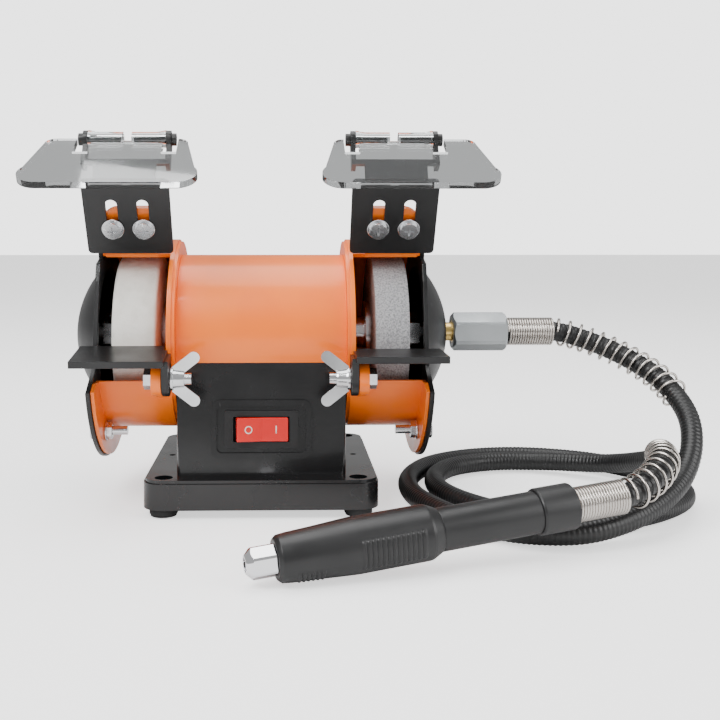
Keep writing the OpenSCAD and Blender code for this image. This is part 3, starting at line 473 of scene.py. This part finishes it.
# %% Finishes
def finish(name, main, other, rough, metallic=0.0, grain=900.0, depth=0.01, scratches=0.1, patch=60.0,
           tint=40.0, coat=0.0, sheen=0.0, clear=0.0, ior=1.5):
    made = bpy.data.materials.new(name)
    made.use_nodes = True
    nodes, links = made.node_tree.nodes, made.node_tree.links
    shader = nodes["Principled BSDF"]
    shader.inputs["Metallic"].default_value = metallic
    shader.inputs["Coat Weight"].default_value = coat
    shader.inputs["Coat Roughness"].default_value = 0.08
    shader.inputs["Sheen Weight"].default_value = sheen
    shader.inputs["Transmission Weight"].default_value = clear
    shader.inputs["IOR"].default_value = ior

    def effect(tree, **values):
        node = nodes.new("ShaderNodeGroup")
        node.node_tree = tree
        for key, value in values.items():
            node.inputs[key].default_value = value
        return node

    colour = effect(shade, Scale=tint, Main=(*main, 1), Other=(*other, 1))
    smear = effect(patches, Scale=patch, Low=rough[0], High=rough[1])
    skin = effect(relief, Scale=grain, Scratches=scratches)
    bump = nodes.new("ShaderNodeBump")
    bump.inputs["Strength"].default_value = 1.0
    bump.inputs["Distance"].default_value = depth * MM
    links.new(colour.outputs["Color"], shader.inputs["Base Color"])
    links.new(smear.outputs["Roughness"], shader.inputs["Roughness"])
    links.new(skin.outputs["Height"], bump.inputs["Height"])
    links.new(bump.outputs["Normal"], shader.inputs["Normal"])
    return made


finishes = {
    "black_casting": finish("black_casting", (.004, .004, .0045), (.007, .007, .0075), (.2, .3),
                            grain=420, depth=.02, coat=.25),
    "orange_paint": finish("orange_paint", (1.0, .19, 0), (.94, .155, 0), (.3, .4),
                           grain=380, depth=.02, coat=.25),
    "black_steel": finish("black_steel", (.006, .006, .0065), (.011, .011, .0115), (.3, .42),
                          grain=1400, depth=.02),
    "zinc_sheet": finish("zinc_sheet", (.5, .51, .53), (.4, .41, .43), (.3, .5), 1.0, scratches=.7),
    "rubber": finish("rubber", (.006, .006, .006), (.012, .012, .012), (.6, .8), depth=.02),
    "black_plastic": finish("black_plastic", (.006, .006, .0065), (.011, .011, .0115), (.34, .46),
                            grain=2200, depth=.03),
    "red_plastic": finish("red_plastic", (.72, .014, .010), (.62, .010, .008), (.18, .28), coat=.3),
    "cream_plastic": finish("cream_plastic", (.8, .78, .7), (.72, .7, .62), (.35, .45)),
    "lamination_steel": finish("lamination_steel", (.35, .36, .38), (.25, .25, .27), (.35, .5),
                               1.0, scratches=.9),
    "copper": finish("copper", (.75, .33, .14), (.6, .24, .1), (.25, .4), 1.0, scratches=.8),
    "brass": finish("brass", (.78, .56, .2), (.6, .4, .13), (.2, .34), 1.0, scratches=.5),
    "carbon": finish("carbon", (.03, .03, .03), (.05, .05, .05), (.5, .7)),
    "bright_steel": finish("bright_steel", (.68, .68, .7), (.56, .56, .58), (.18, .32), 1.0, scratches=.6),
    "plated_screws": finish("plated_screws", (.74, .75, .77), (.6, .6, .6), (.14, .28), 1.0, grain=700),
    "black_screws": finish("black_screws", (.03, .03, .03), (.05, .05, .05), (.3, .42), .6),
    "dark_plastic": finish("dark_plastic", (.08, .08, .09), (.1, .1, .11), (.4, .5)),
    "felt": finish("felt", (.87, .85, .79), (.76, .74, .67), (.85, .97),
                   grain=1500, depth=.3, tint=180, sheen=.5),
    "grindstone": finish("grindstone", (.40, .40, .41), (.13, .13, .135), (.7, .95),
                         grain=1900, depth=.25, tint=1300),
    "clear_acrylic": finish("clear_acrylic", (.96, .985, .99), (.94, .97, .98), (.01, .04),
                            grain=60, depth=.004, clear=1.0, ior=1.49),
    "zinc_alloy": finish("zinc_alloy", (.43, .45, .46), (.33, .35, .36), (.36, .52),
                         1.0, scratches=.5, depth=.02),
    "spring_steel": finish("spring_steel", (.6, .56, .52), (.48, .45, .42), (.18, .3), 1.0),
    "hose_rubber": finish("hose_rubber", (.005, .005, .0055), (.01, .01, .01), (.34, .48), depth=.01),
    "chrome": finish("chrome", (.84, .84, .86), (.78, .78, .8), (.06, .14), 1.0, depth=.003)}

slots = {row["node"]: row["material_slot"] for row in frame["record"]["subparts"]}
dressed = 0
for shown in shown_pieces():
    if shown.type != "MESH":
        continue
    name = shown.get("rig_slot") or slots.get(shown.get("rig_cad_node"))
    shown.data.materials.clear()
    shown.data.materials.append(finishes[name])
    dressed += 1
print("finished", dressed, "pieces with", len(finishes), "materials")

# %% [markdown]
# A plain pale floor and three soft lamps, as in a small studio. The lamps are large, so that
# shadows and highlights have soft edges. Floor and sky look brighter than the light they throw:
# a Light Path node gives them a higher strength where they are seen directly, which keeps them
# pale without flooding the black and orange paint.

# %% Floor and light
floor_mesh = bpy.data.meshes.new("floor")
floor_mesh.from_pydata([(-6, -6, 0), (6, -6, 0), (6, 6, 0), (-6, 6, 0)], [], [(0, 1, 2, 3)])
floor = bpy.data.objects.new("floor", floor_mesh)
floor.location.z = -0.0005
bpy.context.scene.collection.objects.link(floor)
pale = bpy.data.materials.new("pale_floor")
pale.use_nodes = True
pale.node_tree.nodes["Principled BSDF"].inputs["Base Color"].default_value = (.9, .9, .9, 1)
pale.node_tree.nodes["Principled BSDF"].inputs["Roughness"].default_value = 0.7
seen = pale.node_tree.nodes.new("ShaderNodeLightPath")
glow = pale.node_tree.nodes.new("ShaderNodeMath")
glow.operation = "MULTIPLY"
glow.inputs[1].default_value = 1.1
pale.node_tree.links.new(seen.outputs["Is Camera Ray"], glow.inputs[0])
pale.node_tree.links.new(glow.outputs["Value"],
                         pale.node_tree.nodes["Principled BSDF"].inputs["Emission Strength"])
pale.node_tree.nodes["Principled BSDF"].inputs["Emission Color"].default_value = (1, 1, 1, 1)
floor_mesh.materials.append(pale)

sky = bpy.data.worlds.new("sky")
sky.use_nodes = True
sky.node_tree.nodes["Background"].inputs["Color"].default_value = (1, 1, 1, 1)
backdrop = sky.node_tree.nodes.new("ShaderNodeMapRange")
backdrop.inputs["To Min"].default_value = 0.5
backdrop.inputs["To Max"].default_value = 3.0
seen = sky.node_tree.nodes.new("ShaderNodeLightPath")
sky.node_tree.links.new(seen.outputs["Is Camera Ray"], backdrop.inputs["Value"])
sky.node_tree.links.new(backdrop.outputs["Result"], sky.node_tree.nodes["Background"].inputs["Strength"])
bpy.context.scene.world = sky
centre = Vector((0.03, -0.03, 0.08))
for name, where, width, power in (("key", (-0.5, -0.7, 0.9), 0.6, 14), ("fill", (0.9, -0.5, 0.5), 0.7, 7),
                                  ("top", (0.05, 0.1, 1.1), 0.8, 9)):
    lamp = bpy.data.objects.new(name, bpy.data.lights.new(name, "AREA"))
    lamp.data.size = width
    lamp.data.energy = power
    lamp.location = where
    lamp.rotation_euler = (centre - Vector(where)).to_track_quat("-Z", "Y").to_euler()
    bpy.context.scene.collection.objects.link(lamp)
